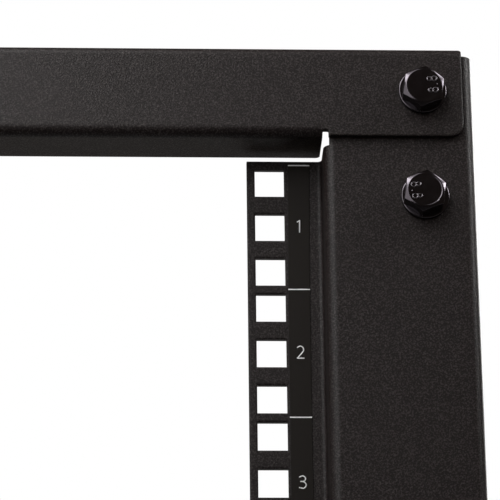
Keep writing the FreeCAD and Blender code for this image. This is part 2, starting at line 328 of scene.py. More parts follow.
def plated_finish(name, dark, light, rough_low, rough_high, smudges, worn_and_highlit=0.0):
    finish, tree, shader = new_finish(name)
    wear = add_node(tree, "ShaderNodeGroup", {"Smudges per metre": smudges}, node_tree=plating)
    smudge = wear.outputs["Smudge"]
    plate = add_node(tree, "ShaderNodeMix", {
        "Factor": smudge, "A": (*dark, 1.0), "B": (*light, 1.0),
    }, data_type="RGBA")
    # Sharp edges and raised strokes, found by Pointiness: partly rubbed plating, partly a painted highlight.
    edges = add_node(tree, "ShaderNodeMapRange", {
        "Value": add_node(tree, "ShaderNodeNewGeometry").outputs["Pointiness"],
        "From Min": sharp_from, "From Max": sharp_full, "To Max": worn_and_highlit,
    }).outputs[0]
    worn_and_highlit_colour = add_node(tree, "ShaderNodeMix", {
        "Factor": edges, "A": plate.outputs["Result"], "B": worn_and_highlit_metal,
    }, data_type="RGBA")
    spread = maths(tree, "MULTIPLY_ADD", smudge, rough_high - rough_low, rough_low)
    relief = add_node(tree, "ShaderNodeBump", {
        "Strength": ripple_strength, "Distance": ripple_height, "Height": wear.outputs["Ripple"],
    })
    fill(tree, shader, {
        "Base Color": worn_and_highlit_colour.outputs["Result"],
        "Roughness": maths(tree, "MULTIPLY_ADD", edges, worn_and_highlit_dullness, spread),
        "Normal": relief.outputs[0],
        "Metallic": 1.0,
    })
    return finish


black_plating = plated_finish(
    "black_plating", (0.064, 0.057, 0.064), (0.1, 0.09, 0.1),
    rough_low=0.1, rough_high=0.24, smudges=260, worn_and_highlit=0.8,
)
bright_zinc = plated_finish(
    "bright_zinc", (0.42, 0.43, 0.45), (0.62, 0.62, 0.60),
    rough_low=0.24, rough_high=0.42, smudges=150,
)
print("Finishes:", black_plating.name, bright_zinc.name)

# %% [markdown]
# ## Folded sheet
# Real sheet has no knife edges: shearing and the thick powder coat leave a small round on every
# cut edge and hole. The model's sheet pieces are exact but sharp. Each gets a copy: its loose
# triangles are merged, flat areas are dissolved into single faces, and a Bevel modifier rounds
# the sharp edges. The folds are already round, in steps too small for the modifier's angle limit,
# so it leaves them alone. Weighted normals let the wide flats keep their own direction, so that
# only the rounds shade softly.

# %% Round the edges of every sheet piece
edge_round = 0.35 * mm
round_steps = 2
flat_angle = math.radians(0.5)
sharp_angle = math.radians(35)
flat_weight = 90


def add_object(name, data):
    thing = bpy.data.objects.new(name, data)
    bpy.context.scene.collection.objects.link(thing)
    return thing


def mesh_from_shape(name, shape):
    """A plain mesh from a bmesh, which is freed."""
    mesh = bpy.data.meshes.new(name)
    shape.to_mesh(mesh)
    shape.free()
    return mesh


def smooth_piece(name, mesh, finish, slot, *nodes, rounding=0.0):
    """Adds a mesh as a piece of the rack that stands for the given nodes."""
    for face in mesh.polygons:
        face.use_smooth = True
    piece = add_object(name, mesh)
    mesh.materials.clear()
    mesh.materials.append(finish)
    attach(piece, "root")
    if nodes:
        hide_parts(*nodes)
    if rounding:
        bevel = piece.modifiers.new("edge_round", "BEVEL")
        bevel.width = rounding
        bevel.segments = round_steps
        bevel.limit_method = "ANGLE"
        bevel.angle_limit = sharp_angle
    flats = piece.modifiers.new("flat_normals", "WEIGHTED_NORMAL")
    flats.weight = flat_weight
    return piece


ends = ("front", "rear")
sides = ("left", "right")
levels = ("top", "bottom")
sheet_nodes = [f"{end}_{side}_{kind}" for end in ends for side in sides for kind in ("post", "foot_plate")]
sheet_nodes += [f"{end}_{level}_crossbar" for end in ends for level in levels]
sheet_nodes += [f"{side}_{level}_rail_{end}_half" for side in sides for level in levels for end in ends]
for node in sheet_nodes:
    shape = merged_copy(node)
    bmesh.ops.dissolve_limit(shape, angle_limit=flat_angle, verts=shape.verts[:], edges=shape.edges[:])
    sheet = mesh_from_shape(node + "_sheet", shape)
    smooth_piece(node + "_sheet", sheet, powder_coat, "powder_coat", node, rounding=edge_round)
print("Rounded", len(sheet_nodes), "sheet pieces")

# %% [markdown]
# ## Running a Geometry Nodes tree
# Bolts, washers, nuts and unit lines repeat, so Geometry Nodes make them. A tree has named
# inputs, and a modifier keeps their values under the sockets' identifiers, which a helper looks
# up. The evaluated result is then turned into a plain mesh, because a finished piece carries no
# instances and needs no tree any more.

# %% Make a plain mesh from a tree
def new_shape_tree(name, inputs):
    """A tree with the given inputs, a finish as the last one, and one shape put out."""
    inputs = {**inputs, "Finish": "NodeSocketMaterial"}
    return new_group(name, "GeometryNodeTree", inputs, {"Geometry": "NodeSocketGeometry"})


def mesh_from_tree(tree, values, start_mesh=None):
    if start_mesh is None:
        start_mesh = bpy.data.meshes.new("empty")
    carrier = add_object("carrier", start_mesh)
    modifier = carrier.modifiers.new("tree", "NODES")
    modifier.node_group = tree
    for item in tree.interface.items_tree:
        if item.in_out == "INPUT" and item.name in values:
            modifier[item.identifier] = values[item.name]
    bpy.context.view_layer.update()
    evaluated = carrier.evaluated_get(bpy.context.evaluated_depsgraph_get())
    mesh = bpy.data.meshes.new_from_object(evaluated)
    carrier.modifiers.clear()
    bpy.data.objects.remove(carrier)
    return mesh


def seat_mesh(seats):
    """One point for each seat, with its rotation kept as an attribute on the point."""
    mesh = bpy.data.meshes.new("seats")
    mesh.from_pydata([place for place, turn in seats], [], [])
    turns = mesh.attributes.new("seat_turn", "FLOAT_VECTOR", "POINT")
    for entry, (place, turn) in zip(turns.data, seats):
        entry.vector = turn.to_euler()
    return mesh


def end_in_finish(tree, given, put, shape):
    """The end of every tree: instances made real, then the finish."""
    whole = add_node(tree, "GeometryNodeRealizeInstances", {0: shape})
    coat = add_node(tree, "GeometryNodeSetMaterial", {
        "Geometry": whole.outputs[0], "Material": given["Finish"],
    })
    fill(tree, put, {"Geometry": coat.outputs[0]})


def end_on_seats(tree, given, put, instance):
    """The end of a fastener tree: the instance on every seat."""
    turn = add_node(tree, "GeometryNodeInputNamedAttribute", {"Name": "seat_turn"}, data_type="FLOAT_VECTOR")
    spots = add_node(tree, "GeometryNodeInstanceOnPoints", {
        "Points": given["Seats"], "Instance": instance, "Rotation": turn.outputs["Attribute"],
    })
    end_in_finish(tree, given, put, spots.outputs[0])


print("Trees can be run")

# %% [markdown]
# ## Where the fasteners sit
# Every washer lies with its flat side on the sheet, so its thin direction is the bolt's axis. The
# bolt's head is on the side away from the rack's middle. Spanners leave the heads turned at any
# angle: the two at the front's top right corner have a corner a few degrees past upright, and the
# rest get a seeded turn. A bolt also has a little play in its holes, so no head is quite in the
# middle of its washer. A quaternion first tips the fastener's own axis onto the bolt's axis and
# then spins it.

# %% Seats for bolts, washers and nuts
turn_seed = 11
front_corner_turn = math.radians(22.5)
front_corner_play = [Vector((-0.05, 0.0, -0.54)) * mm, Vector((-0.45, 0.0, -0.1)) * mm]
usual_play = 0.2 * mm
turns = random.Random(turn_seed)


def fastener_axis(low, high):
    """Which way the thin side points outward: along Y on the frames, along X on the rails."""
    size = high - low
    middle = (low + high) / 2
    if size.y < size.x:
        return Vector((0, math.copysign(1, middle.y), 0))
    return Vector((math.copysign(1, middle.x), 0, 0))


def solid_ends(node, axis_of=fastener_axis):
    """The inner end, the outer end and the outward direction of every solid in a node."""
    found = []
    for low, high in solid_boxes(node):
        outward = axis_of(low, high)
        middle = (low + high) / 2
        half = abs(outward.dot(high - low)) / 2
        found.append((middle - outward * half, middle + outward * half, outward))
    return found


def seat(place, outward, spin):
    tip = Vector((0, 0, 1)).rotation_difference(outward)
    return place, tip @ Quaternion((0, 0, 1), spin)


def is_front_corner(place):
    """The two bolts at the top right corner of the front."""
    return place.x > 0 and place.y < 0 and place.z > (cad_low.z + cad_high.z) / 2


def bolt_seats(node):
    """A seat for the bolt on each washer, with its spin and its play across the axis."""
    found = []
    shown = 0
    for foot, top, outward in solid_ends(node):
        if node == "front_frame_washers" and is_front_corner(foot):
            spin = front_corner_turn + shown * math.pi
            play = front_corner_play[shown]
            shown += 1
        else:
            spin = turns.uniform(0, 2 * math.pi)
            play = Vector(turns.uniform(-usual_play, usual_play) for k in range(3))
            play -= outward * outward.dot(play)
        found.append(seat(top + play, outward, spin))
    return found


fastener_sets = [f"{end}_frame" for end in ends] + [f"{side}_rail" for side in sides]
seats_of_bolts = {name: bolt_seats(name + "_washers") for name in fastener_sets}
print("Seats:", {name: len(found) for name, found in seats_of_bolts.items()})

# %% [markdown]
# ## Washers
# A plain washer is a stamped ring with slightly rounded edges, and those rounds catch the light
# as thin crescents. The tree sweeps a filleted rectangle round a circle and puts a copy on every
# seat. Its inputs are the washer's real sizes. The outer ones are read off the model, and the
# bore is the usual one of coarse washers for an 8 mm bolt. Each set of washers becomes one mesh
# that stands for its node.

# %% Washers on the frames and the rails
washer_bore = 9.0 * mm
washer_edge_round = 0.45 * mm
ring_points = 72
fillet_points = 4


def make_washer_tree():
    tree, given, put = new_shape_tree("washers_on_seats", {
        "Seats": "NodeSocketGeometry",
        "Outer diameter": 16 * mm,
        "Bore": washer_bore,
        "Thickness": 1.6 * mm,
        "Edge round": washer_edge_round,
    })
    outer, bore, thickness = (given[name] for name in ("Outer diameter", "Bore", "Thickness"))
    mean_radius = maths(tree, "MULTIPLY", maths(tree, "ADD", outer, bore), 0.25)
    ring = add_node(tree, "GeometryNodeCurvePrimitiveCircle", {
        "Resolution": ring_points, "Radius": mean_radius,
    })
    width = maths(tree, "MULTIPLY", maths(tree, "SUBTRACT", outer, bore), 0.5)
    section = add_node(tree, "GeometryNodeCurvePrimitiveQuadrilateral", {"Width": width, "Height": thickness})
    rounded = add_node(tree, "GeometryNodeFilletCurve", {
        "Curve": section.outputs[0], "Radius": given["Edge round"], "Count": fillet_points,
    }, mode="POLY")
    sweep = add_node(tree, "GeometryNodeCurveToMesh", {
        "Curve": ring.outputs["Curve"], "Profile Curve": rounded.outputs[0],
    })
    rise = add_node(tree, "ShaderNodeCombineXYZ", {"Z": maths(tree, "MULTIPLY", thickness, 0.5)})
    lift = add_node(tree, "GeometryNodeTransform", {
        "Geometry": sweep.outputs[0], "Translation": rise.outputs[0],
    })
    end_on_seats(tree, given, put, lift.outputs[0])
    return tree


washer_tree = make_washer_tree()
for name in fastener_sets:
    node = name + "_washers"
    low, high = solid_boxes(node)[0]
    seats = [seat(foot, outward, 0) for foot, top, outward in solid_ends(node)]
    mesh = mesh_from_tree(washer_tree, {
        "Outer diameter": (high - low).z,
        "Thickness": min(high - low),
        "Finish": black_plating,
    }, seat_mesh(seats))
    piece = smooth_piece(name + "_washer_rings", mesh, black_plating, "black_steel", node)
    print(piece.name, "has", len(mesh.polygons), "faces over", [round(d, 4) for d in piece.dimensions])

# %% [markdown]
# ## Screw thread
# A thread could be a helix swept with a small section, but the result crosses itself. Here a
# finely divided cylinder is pushed in by a triangle wave that climbs one pitch in every turn, so
# the surface stays closed. The wave is worked out in the tree from each corner's height and
# angle. The last pitch runs out to the core, as a rolled thread does.

# %% Thread tree
thread_sides = 28
steps_per_pitch = 6.0


def make_thread_tree():
    tree, given, put = new_shape_tree("screw_thread", {
        "Diameter": 8 * mm, "Length": 20 * mm, "Pitch": 1.25 * mm, "Depth": 0.7 * mm,
    })
    length = given["Length"]
    pitch = given["Pitch"]
    radius = maths(tree, "MULTIPLY", given["Diameter"], 0.5)
    steps = maths(tree, "MULTIPLY", maths(tree, "DIVIDE", length, pitch), steps_per_pitch)
    rod = add_node(tree, "GeometryNodeMeshCylinder", {
        "Vertices": thread_sides, "Side Segments": steps, "Radius": radius, "Depth": length,
    })
    corner = add_node(tree, "GeometryNodeInputPosition").outputs[0]
    x, y, z = add_node(tree, "ShaderNodeSeparateXYZ", {0: corner}).outputs
    angle = maths(tree, "DIVIDE", maths(tree, "ARCTAN2", y, x), 2 * math.pi)
    phase = maths(tree, "FRACT", maths(tree, "SUBTRACT", maths(tree, "DIVIDE", z, pitch), angle))
    wave = maths(tree, "MULTIPLY", maths(tree, "ABSOLUTE", maths(tree, "SUBTRACT", phase, 0.5)), 2.0)
    past_end = maths(tree, "SUBTRACT", maths(tree, "MULTIPLY", z, -1.0), maths(tree, "MULTIPLY", length, 0.5))
    run_out = maths(tree, "ADD", maths(tree, "DIVIDE", past_end, pitch), 1.0)
    drop = maths(tree, "MULTIPLY", maths(tree, "MAXIMUM", wave, run_out), given["Depth"])
    share = maths(tree, "DIVIDE", drop, maths(tree, "MULTIPLY", radius, -1.0))
    inward = add_node(tree, "ShaderNodeCombineXYZ", {
        "X": maths(tree, "MULTIPLY", x, share), "Y": maths(tree, "MULTIPLY", y, share),
    })
    cut = add_node(tree, "GeometryNodeSetPosition", {
        "Geometry": rod.outputs["Mesh"], "Offset": inward.outputs[0],
    })
    end_in_finish(tree, given, put, cut.outputs[0])
    return tree


thread_tree = make_thread_tree()
print("Thread tree has", len(thread_tree.nodes), "nodes")

# %% [markdown]
# ## Hexagons from rings of points
# A forged head is a hexagonal bar whose top was turned to a cone: the flats end in arcs, and a
# round face is left on top. A Boolean of a prism and a cone would give it, but with ragged
# triangles. Rings of points give clean faces instead: the outline of the hexagon with rounded
# corners, lifted at each point to where the cone crosses it, and then circles whose points lie in
# the same directions. A set of rings is capped at its ends, or closes on itself.

# %% Rings of points into a mesh
hex_corner_round = 0.35 * mm
corner_swings = (-30, -10, 10, 30)
parts_of_flat = 8
hard_angle = math.radians(25)


def hexagon(flats):
    """Points round a hexagon with rounded corners; the first corner is on the first axis."""
    reach = flats / math.sqrt(3)
    arc_middle = reach - hex_corner_round / math.cos(math.radians(30))
    corners = []
    for side in range(6):
        toward = math.radians(60 * side)
        for swing in corner_swings:
            angle = toward + math.radians(swing)
            corners.append(Vector((
                arc_middle * math.cos(toward) + hex_corner_round * math.cos(angle),
                arc_middle * math.sin(toward) + hex_corner_round * math.sin(angle),
            )))
    outline = []
    for here, following in zip(corners, corners[1:] + corners[:1]):
        pieces = parts_of_flat if (following - here).length > 2 * hex_corner_round else 1
        outline += [here.lerp(following, k / pieces) for k in range(pieces)]
    return outline


def circle(outline, radius):
    """A circle whose points lie in the same directions as the outline's."""
    return [point.normalized() * radius for point in outline]


def raised(points, height):
    """Points lifted to one height, or to a height for each."""
    heights = height if isinstance(height, list) else [height] * len(points)
    return [Vector((p.x, p.y, z)) for p, z in zip(points, heights)]


def mesh_from_rings(name, rings, closed, edge_break):
    """Faces between following rings; open ends are capped, and a closed set meets itself."""
    shape = bmesh.new()
    loops = [[shape.verts.new(point) for point in ring] for ring in rings]
    pairs = list(zip(loops, loops[1:]))
    if closed:
        pairs.append((loops[-1], loops[0]))
    for lower, upper in pairs:
        for k in range(len(lower)):
            shape.faces.new((lower[k - 1], lower[k], upper[k], upper[k - 1]))
    if not closed:
        shape.faces.new(loops[0][::-1])
        shape.faces.new(loops[-1])
    bmesh.ops.recalc_face_normals(shape, faces=shape.faces)
    hard = [e for e in shape.edges if e.calc_face_angle() > hard_angle]
    bmesh.ops.bevel(shape, geom=hard, offset=edge_break, segments=2, profile=0.5, affect="EDGES")
    return mesh_from_shape(name, shape)


print("A hexagon has", len(hexagon(1.0)), "points")

# %% [markdown]
# ## Bolt heads and nuts
# Heads come from two dies: one leaves a plain rounded rim round the face, and the other a low lip,
# which catches the light as a thin arc. A rim is a list of circles, each as an inset and a drop in
# millimetres. A nut has the cone on both sides and a countersunk bore, so its rings close on
# themselves.

# %% Heads and nuts
chamfer_slope = math.tan(math.radians(30))
head_flats = 13 * mm
head_height = 5.3 * mm
head_face = 11.8 * mm
forged_edge = 0.22 * mm
plain_rim = [(0.0, 0.05), (0.15, 0.012), (0.35, 0.0)]
lipped_rim = [(0.0, 0.05), (0.12, 0.012), (0.25, 0.0), (0.38, 0.02), (0.52, 0.09), (0.64, 0.12)]
nut_face_share = 0.47
countersink = 0.5 * mm


def hex_head(rim):
    outline = hexagon(head_flats)
    face = head_face / 2
    slope = [head_height - (p.length - face) * chamfer_slope for p in outline]
    rings = [raised(outline, 0.0), raised(outline, slope)]
    for inset, drop in rim:
        rings.append(raised(circle(outline, face - inset * mm), head_height - drop * mm))
    return mesh_from_rings("hex_head", rings, False, forged_edge)


def hex_nut(flats, height, bore):
    outline = hexagon(flats)
    face = circle(outline, flats * nut_face_share)
    mouth = circle(outline, bore / 2 + countersink)
    wall = circle(outline, bore / 2)
    fall = [(p.length - flats * nut_face_share) * chamfer_slope for p in outline]
    rings = [raised(mouth, 0.0), raised(face, 0.0), raised(outline, fall)]
    rings += [raised(outline, [height - drop for drop in fall]), raised(face, height), raised(mouth, height)]
    rings += [raised(wall, height - countersink), raised(wall, countersink)]
    return mesh_from_rings("hex_nut", rings, True, forged_edge)


head_rims = (plain_rim, lipped_rim)
heads = [hex_head(rim) for rim in head_rims]
print("The heads have", [len(head.polygons) for head in heads], "faces")

# %% [markdown]
# ## Numbers drawn with a round pen
# The rack has two kinds of numbers: the printed unit numbers and the raised strength class on the
# bolt heads. A text object would give them, but its strokes swell and narrow, and the real ones
# have one width and round ends. So each digit is a few lists of points, in shares of its height,
# about the middle of its foot. A list that ends where it began is a loop.

# %% Digits as lists of points
oval_points = 12
digit_pitch = 0.67


def oval(middle_y, half_width, half_height):
    turn = [math.tau * (k % oval_points) / oval_points for k in range(oval_points + 1)]
    return [(half_width * math.cos(a), middle_y + half_height * math.sin(a)) for a in turn]


digit_strokes = {
    ".": [[(0.0, 0.0), (0.0, 0.02)]],
    "0": [oval(0.5, 0.25, 0.5)],
    "1": [[(-0.16, 0.87), (0.02, 1.0)], [(0.02, 1.0), (0.02, 0.0)]],
    "2": [
        [(-0.24, 0.88), (-0.03, 1.0), (0.16, 0.92), (0.24, 0.73), (0.18, 0.53), (-0.25, 0.0)],
        [(-0.25, 0.0), (0.26, 0.0)],
    ],
    "3": [
        [(-0.24, 0.9), (-0.01, 1.0), (0.16, 0.91), (0.215, 0.765), (0.15, 0.61), (-0.02, 0.545)],
        [(-0.15, 0.545), (-0.02, 0.545), (0.17, 0.46), (0.26, 0.29), (0.2, 0.11), (0.03, 0.0), (-0.26, 0.06)],
    ],
    "4": [[(0.12, 0.0), (0.12, 1.0)], [(0.12, 1.0), (-0.27, 0.28)], [(-0.27, 0.28), (0.27, 0.28)]],
    "5": [
        [(0.2, 1.0), (-0.18, 1.0)],
        [(-0.18, 1.0), (-0.22, 0.56)],
        [(-0.22, 0.56), (-0.03, 0.62), (0.16, 0.55), (0.25, 0.34), (0.17, 0.1), (-0.03, 0.0), (-0.25, 0.07)],
    ],
    "6": [[(0.12, 1.0), (-0.12, 0.62), (-0.235, 0.36)], oval(0.27, 0.25, 0.27)],
    "7": [[(-0.25, 1.0), (0.25, 1.0)], [(0.25, 1.0), (-0.08, 0.0)]],
    "8": [oval(0.765, 0.2, 0.235), oval(0.265, 0.25, 0.265)],
    "9": [[(-0.12, 0.0), (0.12, 0.38), (0.235, 0.64)], oval(0.73, 0.25, 0.27)],
}


def stroke_mesh(numbers, height):
    """The edges of all strokes; each number is its digits and the middle of its foot."""
    corners = []
    edges = []
    for digits, foot in numbers:
        for column, digit in enumerate(digits):
            shift = foot.x + (column - (len(digits) - 1) / 2) * digit_pitch * height
            for points in digit_strokes[digit]:
                first = len(corners)
                last = first + len(points) - 1
                corners += [(shift + x * height, foot.y + y * height, 0.0) for x, y in points]
                edges += [(k, k + 1) for k in range(first, last)]
                if points[0] == points[-1]:
                    corners.pop()
                    edges[-1] = (last - 1, first)
    mesh = bpy.data.meshes.new("strokes")
    mesh.from_pydata(corners, edges, [])
    return mesh


print("Digits drawn:", len(digit_strokes) - 1)

# %% [markdown]
# ## Pen tree
# The tree turns each list of points into a smooth curve, sweeps a small circle along it and puts
# a ball on both ends. Pressed flat to the wanted relief, the sweep looks like ink on the film, and
# less flat, like the forged marks on steel.

# %% Sweep the pen
nib_points = 8
ball_rings = 6
steps_between_points = 4


def make_pen_tree():
    tree, given, put = new_shape_tree("round_pen", {
        "Lines": "NodeSocketGeometry", "Pen width": 0.5 * mm, "Relief": 0.05 * mm,
    })
    radius = maths(tree, "MULTIPLY", given["Pen width"], 0.5)
    path = add_node(tree, "GeometryNodeMeshToCurve", {"Mesh": given["Lines"]})
    bent = add_node(tree, "GeometryNodeCurveSplineType", {
        "Curve": path.outputs[0],
    }, spline_type="CATMULL_ROM")
    fine = add_node(tree, "GeometryNodeSetSplineResolution", {
        "Geometry": bent.outputs[0], "Resolution": steps_between_points,
    }).outputs[0]
    nib = add_node(tree, "GeometryNodeCurvePrimitiveCircle", {"Resolution": nib_points, "Radius": radius})
    sweep = add_node(tree, "GeometryNodeCurveToMesh", {
        "Curve": fine, "Profile Curve": nib.outputs["Curve"], "Fill Caps": True,
    })
    ball = add_node(tree, "GeometryNodeMeshUVSphere", {
        "Segments": nib_points, "Rings": ball_rings, "Radius": radius,
    })
    tips = add_node(tree, "GeometryNodeInstanceOnPoints", {
        "Points": fine,
        "Selection": add_node(tree, "GeometryNodeCurveEndpointSelection").outputs[0],
        "Instance": ball.outputs["Mesh"],
    })
    both = add_node(tree, "GeometryNodeJoinGeometry")
    for part in (sweep, tips):
        fill(tree, both, {0: part.outputs[0]})
    flat = add_node(tree, "ShaderNodeCombineXYZ", {
        "X": 1.0, "Y": 1.0, "Z": maths(tree, "DIVIDE", given["Relief"], radius),
    })
    press = add_node(tree, "GeometryNodeTransform", {"Geometry": both.outputs[0], "Scale": flat.outputs[0]})
    end_in_finish(tree, given, put, press.outputs[0])
    return tree


pen_tree = make_pen_tree()
print("Pen tree has", len(pen_tree.nodes), "nodes")

# %% [markdown]
# ## One bolt
# The head stands on its seat and points along the third axis, and the thread runs the other way.
# The face carries the plain raised numerals of the usual strength class, which sit by one corner.
# The parts are joined in one mesh, which another tree then puts on every seat.

# %% Bolt and numerals
bolt_thread = {"Diameter": 7.9 * mm, "Pitch": 1.25 * mm, "Depth": 0.7 * mm}
numeral_height = 3.1 * mm
numeral_pen = 0.5 * mm
numeral_relief = 0.22 * mm
numeral_reach = 2.9 * mm
numeral_turn = math.radians(-17.5)
unturned = Quaternion()
origin = Vector((0, 0, 0))


def joined(name, placed):
    """One mesh from (mesh, rotation, place) parts."""
    shape = bmesh.new()
    for mesh, turn, place in placed:
        copy = mesh.copy()
        matrix = turn.to_matrix().to_4x4()
        matrix.translation = place
        copy.transform(matrix)
        shape.from_mesh(copy)
    return mesh_from_shape(name, shape)


def hex_bolt(head, face_height, shank):
    thread = mesh_from_tree(thread_tree, {**bolt_thread, "Length": shank, "Finish": black_plating})
    lines = stroke_mesh([("8.8", Vector((0.0, -numeral_height / 2)))], numeral_height)
    numerals = mesh_from_tree(pen_tree, {
        "Pen width": numeral_pen, "Relief": numeral_relief, "Finish": black_plating,
    }, lines)
    spot = Vector((math.cos(numeral_turn), math.sin(numeral_turn), 0)) * numeral_reach
    spot.z = face_height
    return joined("hex_bolt", [
        (head, unturned, origin),
        (thread, unturned, Vector((0, 0, -shank / 2))),
        (numerals, Quaternion((0, 0, 1), numeral_turn + math.pi / 2), spot),
    ])


low, high = solid_boxes("front_frame_bolts")[0]
bolt_meshes = []
for head, rim in zip(heads, head_rims):
    face_height = head_height - rim[-1][1] * mm
    bolt_meshes.append(hex_bolt(head, face_height, (high - low).y - head_height))
print("The bolts have", [len(mesh.polygons) for mesh in bolt_meshes], "faces")

# %% [markdown]
# ## Bolts and nuts on their seats
# This tree takes any piece, such as the bolt or a nut, and puts it on every seat. A short loop
# runs it for the frames and the rails. Two bolts sit side by side in each row of seats, and the
# rows take the two kinds of head in turn, from the top down.

# %% Piece tree, bolts and nuts
bolts_in_row = 2
nut_bore = 8.2 * mm


def make_piece_tree():
    tree, given, put = new_shape_tree("piece_on_seats", {
        "Seats": "NodeSocketGeometry", "Piece": "NodeSocketObject",
    })
    pattern = add_node(tree, "GeometryNodeObjectInfo", {"Object": given["Piece"]})
    end_on_seats(tree, given, put, pattern.outputs["Geometry"])
    return tree


piece_tree = make_piece_tree()


def placed_copies(pattern_mesh, seats, finish):
    pattern = add_object("pattern", pattern_mesh)
    mesh = mesh_from_tree(piece_tree, {"Piece": pattern, "Finish": finish}, seat_mesh(seats))
    bpy.data.objects.remove(pattern)
    return mesh


def nut_seats(node, axis_of=fastener_axis):
    """A seat at the inner end of each nut, with a seeded spin."""
    places = solid_ends(node, axis_of)
    return [seat(start, outward, turns.uniform(0, 2 * math.pi)) for start, end, outward in places]


low, high = solid_boxes("front_frame_nuts")[0]
nut_mesh = hex_nut((high - low).z, (high - low).y, nut_bore)
for name in fastener_sets:
    kinds = []
    for kind, pattern in enumerate(bolt_meshes):
        rows = enumerate(seats_of_bolts[name])
        own = [s for k, s in rows if k // bolts_in_row % len(bolt_meshes) == kind]
        kinds.append((placed_copies(pattern, own, black_plating), unturned, origin))
    bolts = joined(name + "_bolts", kinds)
    smooth_piece(name + "_hex_bolts", bolts, black_plating, "black_steel", name + "_bolts")
    nuts = placed_copies(nut_mesh, nut_seats(name + "_nuts"), black_plating)
    smooth_piece(name + "_hex_nuts", nuts, black_plating, "black_steel", name + "_nuts")
    print(name, "bolts and nuts:", len(bolts.polygons) + len(nuts.polygons), "faces")

# %% [markdown]
# ## Levelling feet
# Each foot is a threaded stud in a moulded pad, with a nut welded under the post's foot plate and
# a lock nut below it. The stud uses the thread tree again, with the pitch of a 10 mm screw. The
# pad is turned: its outline goes round an axis in a ring of points, and the bevel in the ring
# helper breaks its edges. The outline is given in steps from the rim: an inset and a rise at the
# foot, an inset and a drop at the shoulder. Bright nuts use the piece tree.

# %% Studs, foot nuts and pads
upward = Vector((0, 0, 1))
stud_thread = {"Pitch": 1.5 * mm, "Depth": 0.85 * mm}
foot_nut_bore = 10.2 * mm
pad_rim_height = 4.2 * mm
pad_foot = ((1.2, 0.0), (0.35, 0.35), (0.0, 1.2))
pad_shoulder = ((0.0, 1.0), (0.3, 0.3), (1.0, 0.0))
pad_hollow = 1.5
pad_hub_width = 20 * mm
pad_hub_height = 3.2 * mm
pad_hub_round = 0.6 * mm
pad_socket_share = 0.56
pad_edge = 0.12 * mm


def turned_pad(low, high):
    """A pad with a bulging rim, a hollowed cone and a hub, about its own axis."""
    rim = (high - low).x / 2
    top = (high - low).z
    hub = pad_hub_width / 2
    angles = [math.tau * k / ring_points for k in range(ring_points)]
    around = [Vector((math.cos(a), math.sin(a))) for a in angles]
    profile = [(rim - inset * mm, rise * mm) for inset, rise in pad_foot]
    profile += [(rim - inset * mm, pad_rim_height - drop * mm) for inset, drop in pad_shoulder]
    shoulder, cone_foot = profile[-1]
    cone_top = top - pad_hub_height
    for share in (0.2, 0.4, 0.6, 0.8, 1.0):
        radius = shoulder + (hub - shoulder) * share
        profile.append((radius, cone_foot + (cone_top - cone_foot) * share ** pad_hollow))
    profile += [(hub, top - pad_hub_round), (hub - pad_hub_round, top), (hub * pad_socket_share, top)]
    rings = [raised(circle(around, radius), height) for radius, height in profile]
    return mesh_from_rings("foot_pad", rings, False, pad_edge)


for end in ends:
    for side in sides:
        foot = f"{end}_{side}_foot"
        low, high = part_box(foot + "_stud")
        stud = mesh_from_tree(thread_tree, {
            **stud_thread, "Diameter": (high - low).x, "Length": (high - low).z, "Finish": bright_zinc,
        })
        stud = joined("stud", [(stud, unturned, (low + high) / 2)])
        smooth_piece(foot + "_threaded_stud", stud, bright_zinc, "zinc_steel", foot + "_stud")
        low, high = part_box(foot + "_pad")
        foot_place = Vector(((low.x + high.x) / 2, (low.y + high.y) / 2, low.z))
        pad = joined("pad", [(turned_pad(low, high), unturned, foot_place)])
        smooth_piece(foot + "_moulded_pad", pad, foot_rubber, "foot_rubber", foot + "_pad")
for node in ("foot_weld_nuts", "foot_lock_nuts"):
    low, high = solid_boxes(node)[0]
    pattern = hex_nut((high - low).x, (high - low).z, foot_nut_bore)
    nuts = placed_copies(pattern, nut_seats(node, lambda low, high: upward), bright_zinc)
    smooth_piece(node + "_chamfered", nuts, bright_zinc, "zinc_steel", node)
print("Feet dressed:", len(ends) * len(sides))

# %% [markdown]
# ## Unit marks
# A smooth printed film runs down each mounting flange beside the holes. It is numbered from the
# top, one number to each rack unit, with a fine line where one unit ends and the next begins.
# A tree lays the lines along it, one pitch apart, and the pen tree draws the numbers.

# %% Unit lines
unit_height = 44.45 * mm
rack_units = 12
film_width = 7.2 * mm
line_height = 0.42 * mm
print_relief = 0.04 * mm


def make_line_tree():
    tree, given, put = new_shape_tree("unit_lines", {
        "Lines": rack_units + 1,
        "Unit height": unit_height,
        "Line size": (film_width, print_relief, line_height),
        "First line": (0.0, 0.0, 0.0),
    })
    step = add_node(tree, "ShaderNodeCombineXYZ", {
        "Z": maths(tree, "MULTIPLY", given["Unit height"], -1.0),
    })
    row = add_node(tree, "GeometryNodeMeshLine", {
        "Count": given["Lines"],
        "Start Location": given["First line"],
        "Offset": step.outputs[0],
    })
    bar = add_node(tree, "GeometryNodeMeshCube", {"Size": given["Line size"]})
    spots = add_node(tree, "GeometryNodeInstanceOnPoints", {
        "Points": row.outputs[0], "Instance": bar.outputs["Mesh"],
    })
    end_in_finish(tree, given, put, spots.outputs[0])
    return tree


line_tree = make_line_tree()
print("Line tree has", len(line_tree.nodes), "nodes")

# %% [markdown]
# ## Films, lines and numbers on the four posts
# The film is stuck on by hand, so near its top it strays a little from the hole column. One marked
# film is made about its own middle, as rings of points from bottom to top, with its lines and
# numbers on it. The record's mounts give the hole column, the face of the flange and the rack's
# middle height, and each post gets a copy there, swayed by its own amount. On the rear posts the
# film is read from behind, so it is turned about the upright axis.

